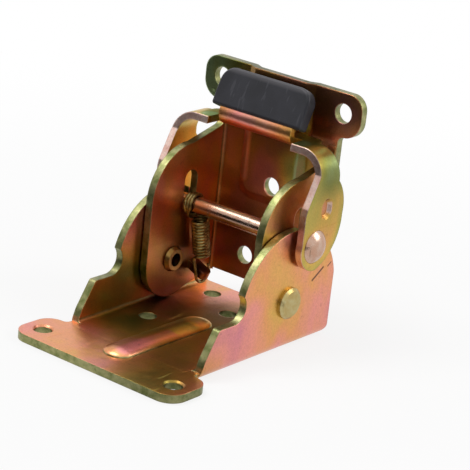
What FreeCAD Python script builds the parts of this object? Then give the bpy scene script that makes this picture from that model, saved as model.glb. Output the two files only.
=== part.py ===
"""Folding table leg bracket: a self-locking right-angle folding bracket in pressed sheet steel.

Frame: millimetres, X across the bracket (+X right), Y from the front wings to the back, Z up.
The origin lies under the middle of the bracket, on the surface that the base stands on.
A leg bracket turns in the base on two rivets. A cross pin in a spring-loaded yoke drops into
notches in the base and locks the leg upright.
"""
import FreeCAD, Part
import math
import os

V = FreeCAD.Vector

# Overall sizes
WIDTH = 50.0
DEPTH = 64.0
HEIGHT = 61.0

# Sheet metal and running gaps
SHEET = 2.0
YOKE_SHEET = 1.8
BEND_OUTER = 2.8
CHEEK_GAP = 0.3
ARM_GAP = 1.0

# Base bracket
WING_OUT = 4.8
WING_FRONT_RADIUS = 4.6
WING_REAR_RADIUS = 5.4
WING_LENGTH = 13.4
WING_HOLE = 4.3
WING_HOLE_IN = 4.8
WING_HOLE_BACK = 6.1
WING_SINK = 0.45
CHEEK_FRONT = 15.0
CHEEK_NOSE_UP = 4.8
CHEEK_NOSE_BACK = 1.9
SHOULDER_BACK = 6.0
SHOULDER_UP = 11.3
BASE_REAR_IN = 0.0
BASE_REAR_CORNER = 2.4
GUIDE_RADIUS = 18.1
BITE_RADIUS = 3.7
BITE_AHEAD = 20.0
FLOOR_HOLE = 4.4
FLOOR_HOLE_SIDE = 10.75
FLOOR_HOLE_FRONT_BACK = 32.6
FLOOR_HOLE_REAR_BACK = 57.3
FLOOR_HOLE_MID_SIDE = 0.4
FLOOR_HOLE_MID_BACK = 49.8
RIB_FRONT_BACK = 7.0
RIB_LENGTH = 34.5
RIB_WIDTH = 7.2
RIB_HEIGHT = 1.1
RIB_SLOPE = 1.1

# Pivot, measured from the rear edge of the base and from the ground
PIVOT_IN = 17.6
PIVOT_UP = 12.2
RIVET_SHANK = 5.0
RIVET_FIT = 0.05
RIVET_HEAD = 7.8
RIVET_HEAD_HEIGHT = 1.3
RIVET_BEVEL = 0.7
RIVET_TAIL = 6.6
RIVET_TAIL_HEIGHT = 1.1
RIVET_BORE = 3.4
RIVET_BORE_DEPTH = 4.2

# Leg bracket
LEG_FRONT_IN = 9.8
LEG_SHOULDER_RADIUS = 13.5
LEG_SHOULDER_UP = 15.8
LEG_REAR_UP = 32.0
LEG_BOTTOM = 6.8
LEG_CORNER = 2.5
TEE_IN = 1.2
TEE_HEIGHT = 10.8
TEE_TOP_RADIUS = 3.8
TEE_BOTTOM_RADIUS = 4.6
TEE_FILLET = 1.5
EAR_HOLE = 4.8
EAR_HOLE_IN = 5.3
EAR_HOLE_DOWN = 5.0
STIFFENER_WIDTH = 20.0
STIFFENER_CREST = 15.6
STIFFENER_HEIGHT = 1.2
STIFFENER_DOWN = 33.2
STIFFENER_CORNER = 4.6
STIFFENER_WALL = 0.5
PLATE_HOLE = 4.6
PLATE_HOLE_TOP_SIDE = 1.0
PLATE_HOLE_TOP_DOWN = 28.0
PLATE_HOLE_MID_DOWN = 38.6
PLATE_HOLE_LOW_DOWN = 48.0
PLATE_HOLE_LOW_SIDE = 5.6

# Lock pin and its slot, measured from the pivot
PIN_DIAMETER = 4.2
PIN_BACK = 4.2
PIN_ABOVE = 14.0
PIN_TRAVEL = 6.0
SLOT_CLEAR = 0.3
NOTCH_CLEAR = 0.15
PIN_END_GAP = 0.3
PIN_HEAD = 8.2
PIN_HEAD_HEIGHT = 1.9

# Release yoke
ARM_END_RADIUS = 6.0
ARM_FRONT_AHEAD = 5.0
ARM_KINK_UP = 10.0
ARM_KINK_AHEAD = 4.6
ARM_NECK_UP = 17.6
ARM_NECK_AHEAD = 0.8
ARM_BACK = 9.6
ARM_BACK_UP = 6.6
ARM_REAR_BACK = 6.8
ARM_REAR_UP = 15.2
ARM_LOW_BACK = 1.0
ARM_FRONT_UP = 1.0
ARM_FRONT_TURN_AHEAD = 3.84
ARM_FRONT_TURN_DOWN = 3.96
ARM_KINK_RUN = 1.6
ARM_LOW_TURN_BACK = 7.0
ARM_LOW_TURN_DOWN = 1.7
ARM_HIGH_TURN_BACK = 9.1
ARM_HIGH_TURN_UP = 11.6
YOKE_TOP = 22.8
YOKE_BEND = 6.5
WEB_FRONT_BACK = 0.2
WEB_DEPTH = 8.8
WEB_CORNER = 3.0
TAB_FRONT_BACK = 1.6
TAB_IN = 2.5
TAB_LEAN = 24.5
TAB_BEND_OUTER = 3.0
TAB_LENGTH = 9.15
RELIEF_WIDTH = 1.8
DIMPLE_UP = 8.9
DIMPLE_BACK = 3.0
DIMPLE_HEIGHT = 5.2
DIMPLE_WIDTH = 4.0
DIMPLE_DEPTH = 0.9

# Grip sleeve over the tab of the yoke
GRIP_IN = 11.6
GRIP_THICKNESS = 3.6
GRIP_CAP = 1.2
GRIP_SKIRT = 8.7
GRIP_CORNER = 3.8
GRIP_EDGE = 0.7

# Return spring and the lug of the leg bracket that holds its lower end
SPRING_WIRE = 0.8
SPRING_DIAMETER = 4.6
SPRING_COILS = 11.75
SPRING_LOOP_TURNS = 2
HOOK_RADIUS = 2.5
HOOK_TURN = 1.15
HOOK_STEPS = 8
TURN_STEPS = 16
LEAD_IN_START = 1.04
SPRING_SIDE = 3.5
LOOP_SIDE_GAP = 0.3
LOOP_CLEAR = 0.12
LUG_BACK = 8.0
LUG_WIDTH = 3.2
LUG_REACH = 6.0
LUG_UP = 8.5
LUG_DROOP = 22.7
LUG_CORNER = 1.4

# Wire between loop and coils: share of the way down, share of the loop radius to the rear
LEAD_IN = ((0.62, 0.8), (0.9, 0.35))
# Wire between coils and hook: share of the way down, millimetres out of the coils, and to the left
LEAD_OUT = ((0.12, 0.1, 0.75), (0.35, 0.3, 0.6), (0.65, 0.5, 0.2))

# Places that follow from the sizes
FRONT_Y = -DEPTH / 2
REAR_Y = DEPTH / 2
BASE_REAR_Y = REAR_Y - BASE_REAR_IN
BASE_HALF = WIDTH / 2 - WING_OUT
BASE_INNER = BASE_HALF - SHEET
LEG_HALF = BASE_INNER - CHEEK_GAP
LEG_INNER = LEG_HALF - SHEET
TEE_HALF = WIDTH / 2 - TEE_IN
PIVOT_Y = BASE_REAR_Y - PIVOT_IN
PIVOT_Z = PIVOT_UP
LEG_REAR_Y = REAR_Y
LEG_PLATE_Y = LEG_REAR_Y - SHEET
PIN_Y = PIVOT_Y + PIN_BACK
PIN_Z = PIVOT_Z + PIN_ABOVE
ARM_INNER = BASE_HALF + ARM_GAP
ARM_OUTER = ARM_INNER + YOKE_SHEET
YOKE_TOP_Z = PIN_Z + YOKE_TOP
WEB_FRONT_Y = PIN_Y + WEB_FRONT_BACK
TAB_BEND_Y = PIN_Y + TAB_FRONT_BACK + TAB_BEND_OUTER
GRIP_HALF = WIDTH / 2 - GRIP_IN
TAB_HALF = GRIP_HALF - TAB_IN
FAR = 200.0


# Shape helpers

def side(y, z, x=0.0):
    return V(x, y, z)


def plan(x, y, z=0.0):
    return V(x, y, z)


def front(x, z, y=0.0):
    return V(x, y, z)


def rounded_wire(corners, place):
    """Closed wire through (a, b, radius) corners, each rounded by its own radius."""
    edges = []
    ends = []
    count = len(corners)
    for index, (a, b, radius) in enumerate(corners):
        here = V(a, b, 0)
        before = V(corners[index - 1][0], corners[index - 1][1], 0) - here
        after = V(corners[(index + 1) % count][0], corners[(index + 1) % count][1], 0) - here
        if radius <= 0:
            ends.append((here, here, None))
            continue
        before.normalize()
        after.normalize()
        half = before.getAngle(after) / 2
        run = radius / math.tan(half)
        middle = before + after
        middle.normalize()
        centre = here + middle * (radius / math.sin(half))
        ends.append((here + before * run, here + after * run, centre - middle * radius))
    for index, (start, end, mid) in enumerate(ends):
        if mid is not None:
            edges.append(Part.Arc(*[place(p.x, p.y) for p in (start, mid, end)]).toShape())
        following = ends[(index + 1) % count][0]
        if end.distanceToPoint(following) > 1e-6:
            edges.append(Part.LineSegment(place(end.x, end.y), place(following.x, following.y)).toShape())
    return Part.Wire(edges)


def prism(wire, direction):
    return Part.Face(wire).extrude(direction)


def box(x0, x1, y0, y1, z0, z1):
    return Part.makeBox(x1 - x0, y1 - y0, z1 - z0, V(x0, y0, z0))


def rod_x(radius, x0, x1, y, z):
    return Part.makeCylinder(radius, x1 - x0, V(x0, y, z), V(1, 0, 0))


def rod_y(radius, y0, y1, x, z):
    return Part.makeCylinder(radius, y1 - y0, V(x, y0, z), V(0, 1, 0))


def rod_z(radius, z0, z1, x, y):
    return Part.makeCylinder(radius, z1 - z0, V(x, y, z0), V(0, 0, 1))


def side_prism(corners, half):
    wire = rounded_wire(corners, lambda y, z: side(y, z, -half))
    return prism(wire, V(2 * half, 0, 0))


def mirror_x(shape):
    return shape.mirror(V(0, 0, 0), V(1, 0, 0))


def upright_slot(radius, y, z0, z1, half):
    """Vertical slot through both cheeks, with round ends at z0 and z1."""
    slot = rod_x(radius, -half, half, y, z0)
    slot = slot.fuse(rod_x(radius, -half, half, y, z1))
    return slot.fuse(box(-half, half, y - radius, y + radius, z0, z1))


def channel(half, floor, length, bend, sheet, place):
    """U channel: a floor, two walls of the given length and two rounded bends."""
    outer = [(-half, 0, bend), (half, 0, bend), (half, length, 0), (-half, length, 0)]
    inner_half = half - sheet
    inner_bend = bend - sheet
    inner = [(-inner_half, sheet, inner_bend), (inner_half, sheet, inner_bend),
             (inner_half, length + 1, 0), (-inner_half, length + 1, 0)]
    origin = place(0, 0)
    across = place(1, 0) - origin
    along = place(0, 1) - origin
    run = across.cross(along) * floor
    return prism(rounded_wire(outer, place), run).cut(prism(rounded_wire(inner, place), run))


def pressed_pad(corners, inset, rise, place, direction):
    """Solid between an outline and the same outline pulled in by the slope of its wall."""
    low = rounded_wire(corners, place)
    upper = []
    for a, b, radius in corners:
        upper.append((a - math.copysign(inset, a - centre_of(corners)[0]),
                      b - math.copysign(inset, b - centre_of(corners)[1]), max(radius - inset, 0.3)))
    high = rounded_wire(upper, place)
    high.translate(direction * rise)
    return Part.makeLoft([low, high], True, True)


def centre_of(corners):
    return (sum(c[0] for c in corners) / len(corners), sum(c[1] for c in corners) / len(corners))


# Base bracket: floor with front wings, rib and holes, and two scalloped cheeks

def wing_plate():
    root = FRONT_Y + WING_LENGTH
    wing = WIDTH / 2
    corners = [
        (-wing, FRONT_Y, WING_FRONT_RADIUS), (wing, FRONT_Y, WING_FRONT_RADIUS),
        (wing, root, WING_REAR_RADIUS - 1.3), (BASE_HALF - 0.6, root, 1.3),
        (BASE_HALF - 0.6, FRONT_Y + CHEEK_FRONT + 0.6, 0), (0.6 - BASE_HALF, FRONT_Y + CHEEK_FRONT + 0.6, 0),
        (0.6 - BASE_HALF, root, 1.3), (-wing, root, WING_REAR_RADIUS - 1.3),
    ]
    return prism(rounded_wire(corners, plan), V(0, 0, SHEET))


def base_side():
    """Side view of the base: nose, shoulder, guide arc about the pivot and the folded rest."""
    nose = FRONT_Y + CHEEK_FRONT
    outline = [
        (nose, 0, 0), (nose + CHEEK_NOSE_BACK, CHEEK_NOSE_UP, 6.0),
        (nose + SHOULDER_BACK, SHOULDER_UP, 1.0), (PIVOT_Y, SHOULDER_UP, 0),
        (BASE_REAR_Y, SHOULDER_UP, 0), (BASE_REAR_Y, 0, BASE_REAR_CORNER),
    ]
    bite_y = PIVOT_Y - BITE_AHEAD
    bite_z = SHOULDER_UP + BITE_RADIUS
    shape = side_prism(outline, BASE_HALF)
    shape = shape.fuse(rod_x(GUIDE_RADIUS, -BASE_HALF, BASE_HALF, PIVOT_Y, PIVOT_Z))
    shape = shape.fuse(box(-BASE_HALF, BASE_HALF, bite_y, PIVOT_Y, SHOULDER_UP, bite_z))
    shape = shape.cut(box(-BASE_HALF, BASE_HALF, BASE_REAR_Y, FAR, -FAR, FAR))
    shape = shape.cut(box(-BASE_HALF, BASE_HALF, -FAR, FAR, -FAR, 0))
    return shape.cut(rod_x(BITE_RADIUS, -BASE_HALF, BASE_HALF, bite_y, bite_z))


def base_bracket():
    start = FRONT_Y + CHEEK_FRONT
    top = PIVOT_Z + GUIDE_RADIUS + 1
    shell = channel(BASE_HALF, BASE_REAR_Y - start, top, BEND_OUTER, SHEET,
                    lambda x, z: front(x, z, BASE_REAR_Y))
    shell = shell.common(base_side())
    shape = shell.fuse(wing_plate())
    radius = PIN_DIAMETER / 2 + NOTCH_CLEAR
    shape = shape.cut(upright_slot(radius, PIN_Y, PIN_Z, top + radius, BASE_HALF + 1))
    shape = shape.cut(rod_x(RIVET_SHANK / 2, -BASE_HALF - 1, BASE_HALF + 1, PIVOT_Y, PIVOT_Z))
    shape = shape.fuse(floor_rib(0)).cut(floor_rib(SHEET))
    for x, y in floor_hole_places():
        shape = shape.cut(rod_z(FLOOR_HOLE / 2, -1, SHEET + 1, x, y))
    for x, y in wing_hole_places():
        shape = shape.cut(rod_z(WING_HOLE / 2, -1, SHEET + 1, x, y))
        shape = shape.cut(Part.makeCone(WING_HOLE / 2, WING_HOLE / 2 + WING_SINK, WING_SINK,
                                        V(x, y, SHEET - WING_SINK), V(0, 0, 1)))
    return shape.removeSplitter()


def floor_rib(below):
    """Long rib of the floor; below is the sheet thickness for the groove under the rib."""
    half = RIB_WIDTH / 2 - below / 2
    y0 = FRONT_Y + RIB_FRONT_BACK + below / 2
    y1 = FRONT_Y + RIB_FRONT_BACK + RIB_LENGTH - below / 2
    radius = half - 0.01
    corners = [(-half, y0, radius), (half, y0, radius), (half, y1, radius), (-half, y1, radius)]
    pad = pressed_pad(corners, RIB_SLOPE, RIB_HEIGHT, plan, V(0, 0, 1))
    pad.translate(V(0, 0, SHEET - below))
    return pad


def floor_hole_places():
    return [
        (-FLOOR_HOLE_SIDE, FRONT_Y + FLOOR_HOLE_FRONT_BACK),
        (-FLOOR_HOLE_SIDE, FRONT_Y + FLOOR_HOLE_REAR_BACK),
        (FLOOR_HOLE_MID_SIDE, FRONT_Y + FLOOR_HOLE_MID_BACK),
    ]


def wing_hole_places():
    x = WIDTH / 2 - WING_HOLE_IN
    y = FRONT_Y + WING_HOLE_BACK
    return [(-x, y), (x, y)]


# Leg bracket: back plate with a T head and a pressed recess, and two slotted cheeks

def leg_side():
    """Side view of the leg bracket: round foot about the pivot, straight front, round shoulder."""
    foot = LEG_FRONT_IN
    front_y = PIVOT_Y - foot
    shoulder_y = front_y + LEG_SHOULDER_RADIUS
    shoulder_z = PIVOT_Z + LEG_SHOULDER_UP
    top = shoulder_z + LEG_SHOULDER_RADIUS
    body = [
        (front_y, PIVOT_Z, 0), (PIVOT_Y, PIVOT_Z - foot, 0), (LEG_REAR_Y, LEG_BOTTOM, 0),
        (LEG_REAR_Y, PIVOT_Z + LEG_REAR_UP + 3.4, 0), (LEG_PLATE_Y - 0.1, PIVOT_Z + LEG_REAR_UP + 3.4, 0),
        (LEG_PLATE_Y - 0.6, PIVOT_Z + LEG_REAR_UP + 0.3, 2.4), (shoulder_y, top, 0), (front_y, shoulder_z, 0),
    ]
    shape = side_prism(body, LEG_HALF)
    shape = shape.fuse(rod_x(foot, -LEG_HALF, LEG_HALF, PIVOT_Y, PIVOT_Z))
    shoulder = rod_x(LEG_SHOULDER_RADIUS, -LEG_HALF, LEG_HALF, shoulder_y, shoulder_z)
    shoulder = shoulder.common(box(-LEG_HALF, LEG_HALF, front_y, LEG_REAR_Y, PIVOT_Z, FAR))
    return shape.fuse(shoulder)


def tee_plate():
    """Flat plate in the back plane: neck, T head with rounded ears and the bottom corners."""
    tee = TEE_HALF
    tee_low = HEIGHT - TEE_HEIGHT
    neck_low = PIVOT_Z + LEG_REAR_UP - SHEET
    head = [
        (-tee, tee_low, TEE_BOTTOM_RADIUS), (tee, tee_low, TEE_BOTTOM_RADIUS),
        (tee, HEIGHT, TEE_TOP_RADIUS), (-tee, HEIGHT, TEE_TOP_RADIUS),
    ]
    back = V(0, SHEET, 0)
    place = lambda x, z: front(x, z, LEG_PLATE_Y)
    shape = prism(rounded_wire(head, place), back)
    shape = shape.fuse(box(-LEG_HALF, LEG_HALF, LEG_PLATE_Y, LEG_REAR_Y, neck_low, tee_low + 1))
    for sign in (-1, 1):
        corner = [
            (sign * LEG_HALF, tee_low + TEE_FILLET, 0), (sign * LEG_HALF, tee_low - TEE_FILLET, 0),
            (sign * (LEG_HALF + TEE_FILLET), tee_low, 0),
            (sign * (LEG_HALF + TEE_FILLET), tee_low + TEE_FILLET, 0),
        ]
        web = prism(rounded_wire(corner, place), back)
        round_off = rod_y(TEE_FILLET, LEG_PLATE_Y, LEG_REAR_Y,
                          sign * (LEG_HALF + TEE_FILLET), tee_low - TEE_FILLET)
        shape = shape.fuse(web.cut(round_off))
    return shape


def stiffener(wall):
    """Wide pad pressed forward in the back plate, or with a wall given the groove behind it."""
    half = STIFFENER_WIDTH / 2 - wall
    slope = (STIFFENER_WIDTH - STIFFENER_CREST) / 2
    low = HEIGHT - STIFFENER_DOWN + wall
    high = HEIGHT + STIFFENER_DOWN
    y = LEG_REAR_Y if wall else LEG_PLATE_Y
    corners = [(-half, low, STIFFENER_CORNER), (half, low, STIFFENER_CORNER),
               (half, high, STIFFENER_CORNER), (-half, high, STIFFENER_CORNER)]
    pad = pressed_pad(corners, slope, STIFFENER_HEIGHT, lambda x, z: front(x, z, y), V(0, -1, 0))
    return pad.common(box(-half, half, y - SHEET, y + 1, low - 1, HEIGHT))


def lug_frame():
    """Root of the lug on the inner face of the cheek, and the direction in which it droops."""
    droop = math.radians(LUG_DROOP)
    root = V(-LEG_INNER, PIVOT_Y + LUG_BACK, LUG_UP + SHEET)
    return root, V(math.cos(droop), 0, -math.sin(droop))


def spring_lug():
    """Tongue sheared from the left cheek and bent inwards and down."""
    root, along = lug_frame()
    half = LUG_WIDTH / 2
    place = lambda run, y: root + along * run + V(0, y, 0)
    corners = [(-SHEET / 2, -half, 0), (LUG_REACH, -half, LUG_CORNER),
               (LUG_REACH, half, LUG_CORNER), (-SHEET / 2, half, 0)]
    thick = V(-along.z, 0, along.x) * -SHEET
    return prism(rounded_wire(corners, place), thick)


def leg_bracket():
    depth = LEG_REAR_Y - (PIVOT_Y - LEG_FRONT_IN)
    shell = channel(LEG_HALF, HEIGHT, depth, BEND_OUTER, SHEET,
                    lambda x, back: V(x, LEG_REAR_Y - back, HEIGHT))
    shell = shell.common(leg_side())
    low = [
        (-LEG_HALF, LEG_BOTTOM, LEG_CORNER), (LEG_HALF, LEG_BOTTOM, LEG_CORNER),
        (LEG_HALF, FAR, 0), (-LEG_HALF, FAR, 0),
    ]
    keep = prism(rounded_wire(low, lambda x, z: front(x, z, LEG_PLATE_Y)), V(0, SHEET, 0))
    keep = keep.fuse(box(-LEG_HALF, LEG_HALF, -FAR, LEG_PLATE_Y, -FAR, FAR))
    shape = shell.common(keep).fuse(tee_plate())
    shape = shape.fuse(stiffener(0)).cut(stiffener(STIFFENER_WALL))
    slot = PIN_DIAMETER / 2 + SLOT_CLEAR
    shape = shape.cut(upright_slot(slot, PIN_Y, PIN_Z, PIN_Z + PIN_TRAVEL, LEG_HALF + 1))
    bore = RIVET_SHANK / 2 + RIVET_FIT
    shape = shape.cut(rod_x(bore, -LEG_HALF - 1, LEG_HALF + 1, PIVOT_Y, PIVOT_Z))
    for x, z in plate_hole_places():
        shape = shape.cut(rod_y(PLATE_HOLE / 2, LEG_PLATE_Y - 1, REAR_Y + 1, x, z))
    for x, z in ear_hole_places():
        shape = shape.cut(rod_y(EAR_HOLE / 2, LEG_PLATE_Y - 1, REAR_Y + 1, x, z))
    return shape.fuse(spring_lug()).removeSplitter()


def plate_hole_places():
    return [
        (PLATE_HOLE_TOP_SIDE, HEIGHT - PLATE_HOLE_TOP_DOWN),
        (0.0, HEIGHT - PLATE_HOLE_MID_DOWN),
        (-PLATE_HOLE_LOW_SIDE, HEIGHT - PLATE_HOLE_LOW_DOWN),
    ]


def ear_hole_places():
    x = TEE_HALF - EAR_HOLE_IN
    return [(sign * x, HEIGHT - EAR_HOLE_DOWN) for sign in (-1, 1)]


# Pivot rivets, turned in profile: bevelled flat head, shank and hollow flared tail

def pivot_rivet(sign):
    radius = RIVET_SHANK / 2
    head = RIVET_HEAD / 2
    tail = RIVET_TAIL / 2
    head_x = BASE_HALF
    tail_x = LEG_INNER - RIVET_FIT
    end_x = tail_x - RIVET_TAIL_HEIGHT
    profile = [
        (head_x + RIVET_HEAD_HEIGHT, 0), (head_x + RIVET_HEAD_HEIGHT, head - RIVET_BEVEL),
        (head_x + RIVET_HEAD_HEIGHT / 2, head), (head_x, head), (head_x, radius), (tail_x, radius),
        (tail_x, tail), (end_x, tail - RIVET_TAIL_HEIGHT / 2), (end_x, RIVET_BORE / 2),
        (end_x + RIVET_BORE_DEPTH, RIVET_BORE / 2), (end_x + RIVET_BORE_DEPTH + RIVET_BORE / 4, 0),
    ]
    points = [V(x, PIVOT_Y, PIVOT_Z + r) for x, r in profile]
    wire = Part.makePolygon(points + [points[0]])
    solid = Part.Face(wire).revolve(V(0, PIVOT_Y, PIVOT_Z), V(1, 0, 0), 360)
    return solid if sign > 0 else mirror_x(solid)


# Lock pin: shaft through the leg slots, and headed ends riveted in the yoke arms

def lock_pin():
    radius = PIN_DIAMETER / 2
    shaft_end = BASE_INNER - PIN_END_GAP
    shape = rod_x(radius, -shaft_end, shaft_end, PIN_Y, PIN_Z)
    dome = (PIN_HEAD ** 2 / 4 + PIN_HEAD_HEIGHT ** 2) / (2 * PIN_HEAD_HEIGHT)
    ball = Part.makeSphere(dome, V(ARM_OUTER + PIN_HEAD_HEIGHT - dome, PIN_Y, PIN_Z))
    head = ball.common(box(ARM_OUTER, ARM_OUTER + PIN_HEAD_HEIGHT + 1, -FAR, FAR, -FAR, FAR))
    end = rod_x(radius, BASE_HALF + PIN_END_GAP, ARM_OUTER, PIN_Y, PIN_Z).fuse(head).removeSplitter()
    return Part.makeCompound([shape, end, mirror_x(end)])


# Release yoke: two wide arms outside the base, a web with a raised tab, and a dimple in each arm

def arm_side():
    """Side view of an arm: round end about the pin, kinked front edge and bulging back."""
    low = V(0, PIN_Y + ARM_LOW_BACK, PIN_Z - ARM_END_RADIUS)
    front_low = V(0, PIN_Y - ARM_FRONT_AHEAD, PIN_Z + ARM_FRONT_UP)
    front_turn = V(0, PIN_Y - ARM_FRONT_TURN_AHEAD, PIN_Z - ARM_FRONT_TURN_DOWN)
    kink_low = V(0, PIN_Y - ARM_FRONT_AHEAD, PIN_Z + ARM_KINK_UP - ARM_KINK_RUN)
    kink = V(0, PIN_Y - ARM_KINK_AHEAD, PIN_Z + ARM_KINK_UP)
    neck = V(0, PIN_Y - ARM_NECK_AHEAD, PIN_Z + ARM_NECK_UP)
    back = V(0, PIN_Y + ARM_BACK, PIN_Z + ARM_BACK_UP)
    back_turn = V(0, PIN_Y + ARM_LOW_TURN_BACK, PIN_Z - ARM_LOW_TURN_DOWN)
    rear = V(0, PIN_Y + ARM_REAR_BACK, PIN_Z + ARM_REAR_UP)
    rear_turn = V(0, PIN_Y + ARM_HIGH_TURN_BACK, PIN_Z + ARM_HIGH_TURN_UP)
    web_rear = WEB_FRONT_Y + WEB_DEPTH - WEB_CORNER
    above = YOKE_TOP_Z + 1
    edges = [
        Part.LineSegment(front_low, kink_low).toShape(),
        Part.LineSegment(kink_low, kink).toShape(),
        Part.LineSegment(kink, neck).toShape(),
        Part.LineSegment(neck, side(WEB_FRONT_Y, above)).toShape(),
        Part.LineSegment(side(WEB_FRONT_Y, above), side(web_rear, above)).toShape(),
        Part.LineSegment(side(web_rear, above), rear).toShape(),
        Part.Arc(rear, rear_turn, back).toShape(),
        Part.Arc(back, back_turn, low).toShape(),
        Part.Arc(low, front_turn, front_low).toShape(),
    ]
    wire = Part.Wire(edges)
    wire.translate(V(-ARM_OUTER, 0, 0))
    return prism(wire, V(2 * ARM_OUTER, 0, 0))


def web_plate():
    y1 = WEB_FRONT_Y + WEB_DEPTH
    flat = ARM_OUTER - YOKE_BEND
    corners = [
        (-flat, WEB_FRONT_Y, 0), (flat, WEB_FRONT_Y, 0),
        (flat, y1, WEB_CORNER), (-flat, y1, WEB_CORNER),
    ]
    wire = rounded_wire(corners, lambda x, y: plan(x, y, YOKE_TOP_Z - YOKE_SHEET))
    shape = prism(wire, V(0, 0, YOKE_SHEET))
    half = TAB_HALF + RELIEF_WIDTH
    return shape.cut(box(-half, half, -FAR, TAB_BEND_Y, -FAR, FAR))


def tab_frame():
    """Bend centre, and the unit vectors up the tab and out of its front face."""
    lean = math.radians(TAB_LEAN)
    centre = V(0, TAB_BEND_Y, YOKE_TOP_Z - YOKE_SHEET + TAB_BEND_OUTER)
    return centre, V(0, math.sin(lean), math.cos(lean)), V(0, -math.cos(lean), math.sin(lean))


def tab():
    """Bent strip: from the web round the bend and up, leaning back."""
    centre, up, out = tab_frame()
    inner = TAB_BEND_OUTER - YOKE_SHEET
    ring = Part.makeCylinder(TAB_BEND_OUTER, 2 * TAB_HALF, centre - V(TAB_HALF, 0, 0), V(1, 0, 0))
    ring = ring.cut(Part.makeCylinder(inner, 2 * TAB_HALF, centre - V(TAB_HALF, 0, 0), V(1, 0, 0)))
    down = V(0, 0, -1)
    reach = 4 * TAB_BEND_OUTER
    mid = (down + out)
    mid.normalize()
    sector = Part.makePolygon([centre, centre + down * reach, centre + mid * reach,
                               centre + out * reach, centre])
    sector.translate(V(-TAB_HALF, 0, 0))
    bend = ring.common(prism(sector, V(2 * TAB_HALF, 0, 0)))
    foot = centre + out * inner - V(TAB_HALF, 0, 0)
    sheet = Part.makePolygon([foot, foot + up * TAB_LENGTH, foot + up * TAB_LENGTH + out * YOKE_SHEET,
                              foot + out * YOKE_SHEET, foot])
    return bend.fuse(prism(sheet, V(2 * TAB_HALF, 0, 0)))


def dimple(grow, depth):
    """Oblong press mark, as a solid from the outer face of the right arm inwards."""
    radius = DIMPLE_WIDTH / 2 + grow
    y = PIN_Y + DIMPLE_BACK
    z = PIN_Z + DIMPLE_UP
    run = (DIMPLE_HEIGHT - DIMPLE_WIDTH) / 2
    wires = []
    for inset, x in ((0.0, ARM_OUTER), (0.8, ARM_OUTER - depth)):
        half = radius - inset
        high = run + half
        corners = [(y - half, z - high, half - 0.01), (y + half, z - high, half - 0.01),
                   (y + half, z + high, half - 0.01), (y - half, z + high, half - 0.01)]
        wires.append(rounded_wire(corners, lambda a, b, x=x: side(a, b, x)))
    return Part.makeLoft(wires, True, True)


def release_yoke():
    height = YOKE_TOP_Z
    y0 = PIN_Y - 2 * ARM_END_RADIUS
    length = 4 * ARM_END_RADIUS
    shell = channel(ARM_OUTER, length, height, YOKE_BEND, YOKE_SHEET,
                    lambda x, down: V(x, y0, YOKE_TOP_Z - down))
    shape = shell.common(arm_side())
    half = TAB_HALF + RELIEF_WIDTH
    shape = shape.cut(box(-half, half, -FAR, TAB_BEND_Y, YOKE_TOP_Z - 2 * YOKE_SHEET, FAR))
    shape = shape.fuse(web_plate()).fuse(tab())
    for sign in (-1, 1):
        back = dimple(0.5, DIMPLE_DEPTH + YOKE_SHEET * 0.7)
        hollow = dimple(0.0, DIMPLE_DEPTH)
        if sign < 0:
            back = mirror_x(back)
            hollow = mirror_x(hollow)
        shape = shape.fuse(back).cut(hollow)
    shape = shape.cut(rod_x(PIN_DIAMETER / 2, -ARM_OUTER - 1, ARM_OUTER + 1, PIN_Y, PIN_Z))
    return shape.removeSplitter()


# Grip sleeve: moulded cap with rounded top corners, slipped over the tab

def grip_sleeve():
    centre, up, out = tab_frame()
    half = GRIP_HALF
    skin = (GRIP_THICKNESS - YOKE_SHEET) / 2
    top = TAB_LENGTH + GRIP_CAP
    low = TAB_LENGTH - GRIP_SKIRT
    face = centre + out * (TAB_BEND_OUTER + skin)
    corners = [(-half, low, 0.6), (half, low, 0.6), (half, top, GRIP_CORNER), (-half, top, GRIP_CORNER)]
    wire = rounded_wire(corners, lambda x, rise: face + V(x, 0, 0) + up * rise)
    body = prism(wire, out * -GRIP_THICKNESS)
    body = body.makeFillet(GRIP_EDGE, body.Edges)
    return body.cut(tab())


# Return spring: double loop round the pin, close coils, and a hook round the lug

def helix_points(start, axis, first, radius, pitch, turns, steps):
    second = axis.cross(first)
    count = int(round(turns * steps))
    points = []
    for index in range(count + 1):
        angle = 2 * math.pi * index / steps
        offset = first * (radius * math.cos(angle)) + second * (radius * math.sin(angle))
        points.append(start + axis * (pitch * index / steps) + offset)
    return points


def wire_sweep(points, radius):
    curve = Part.BSplineCurve()
    curve.interpolate(points)
    path = Part.Wire([curve.toShape()])
    normal = points[1] - points[0]
    disc = Part.Wire([Part.makeCircle(radius, points[0], normal)])
    return path.makePipeShell([disc], True, True)


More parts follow.
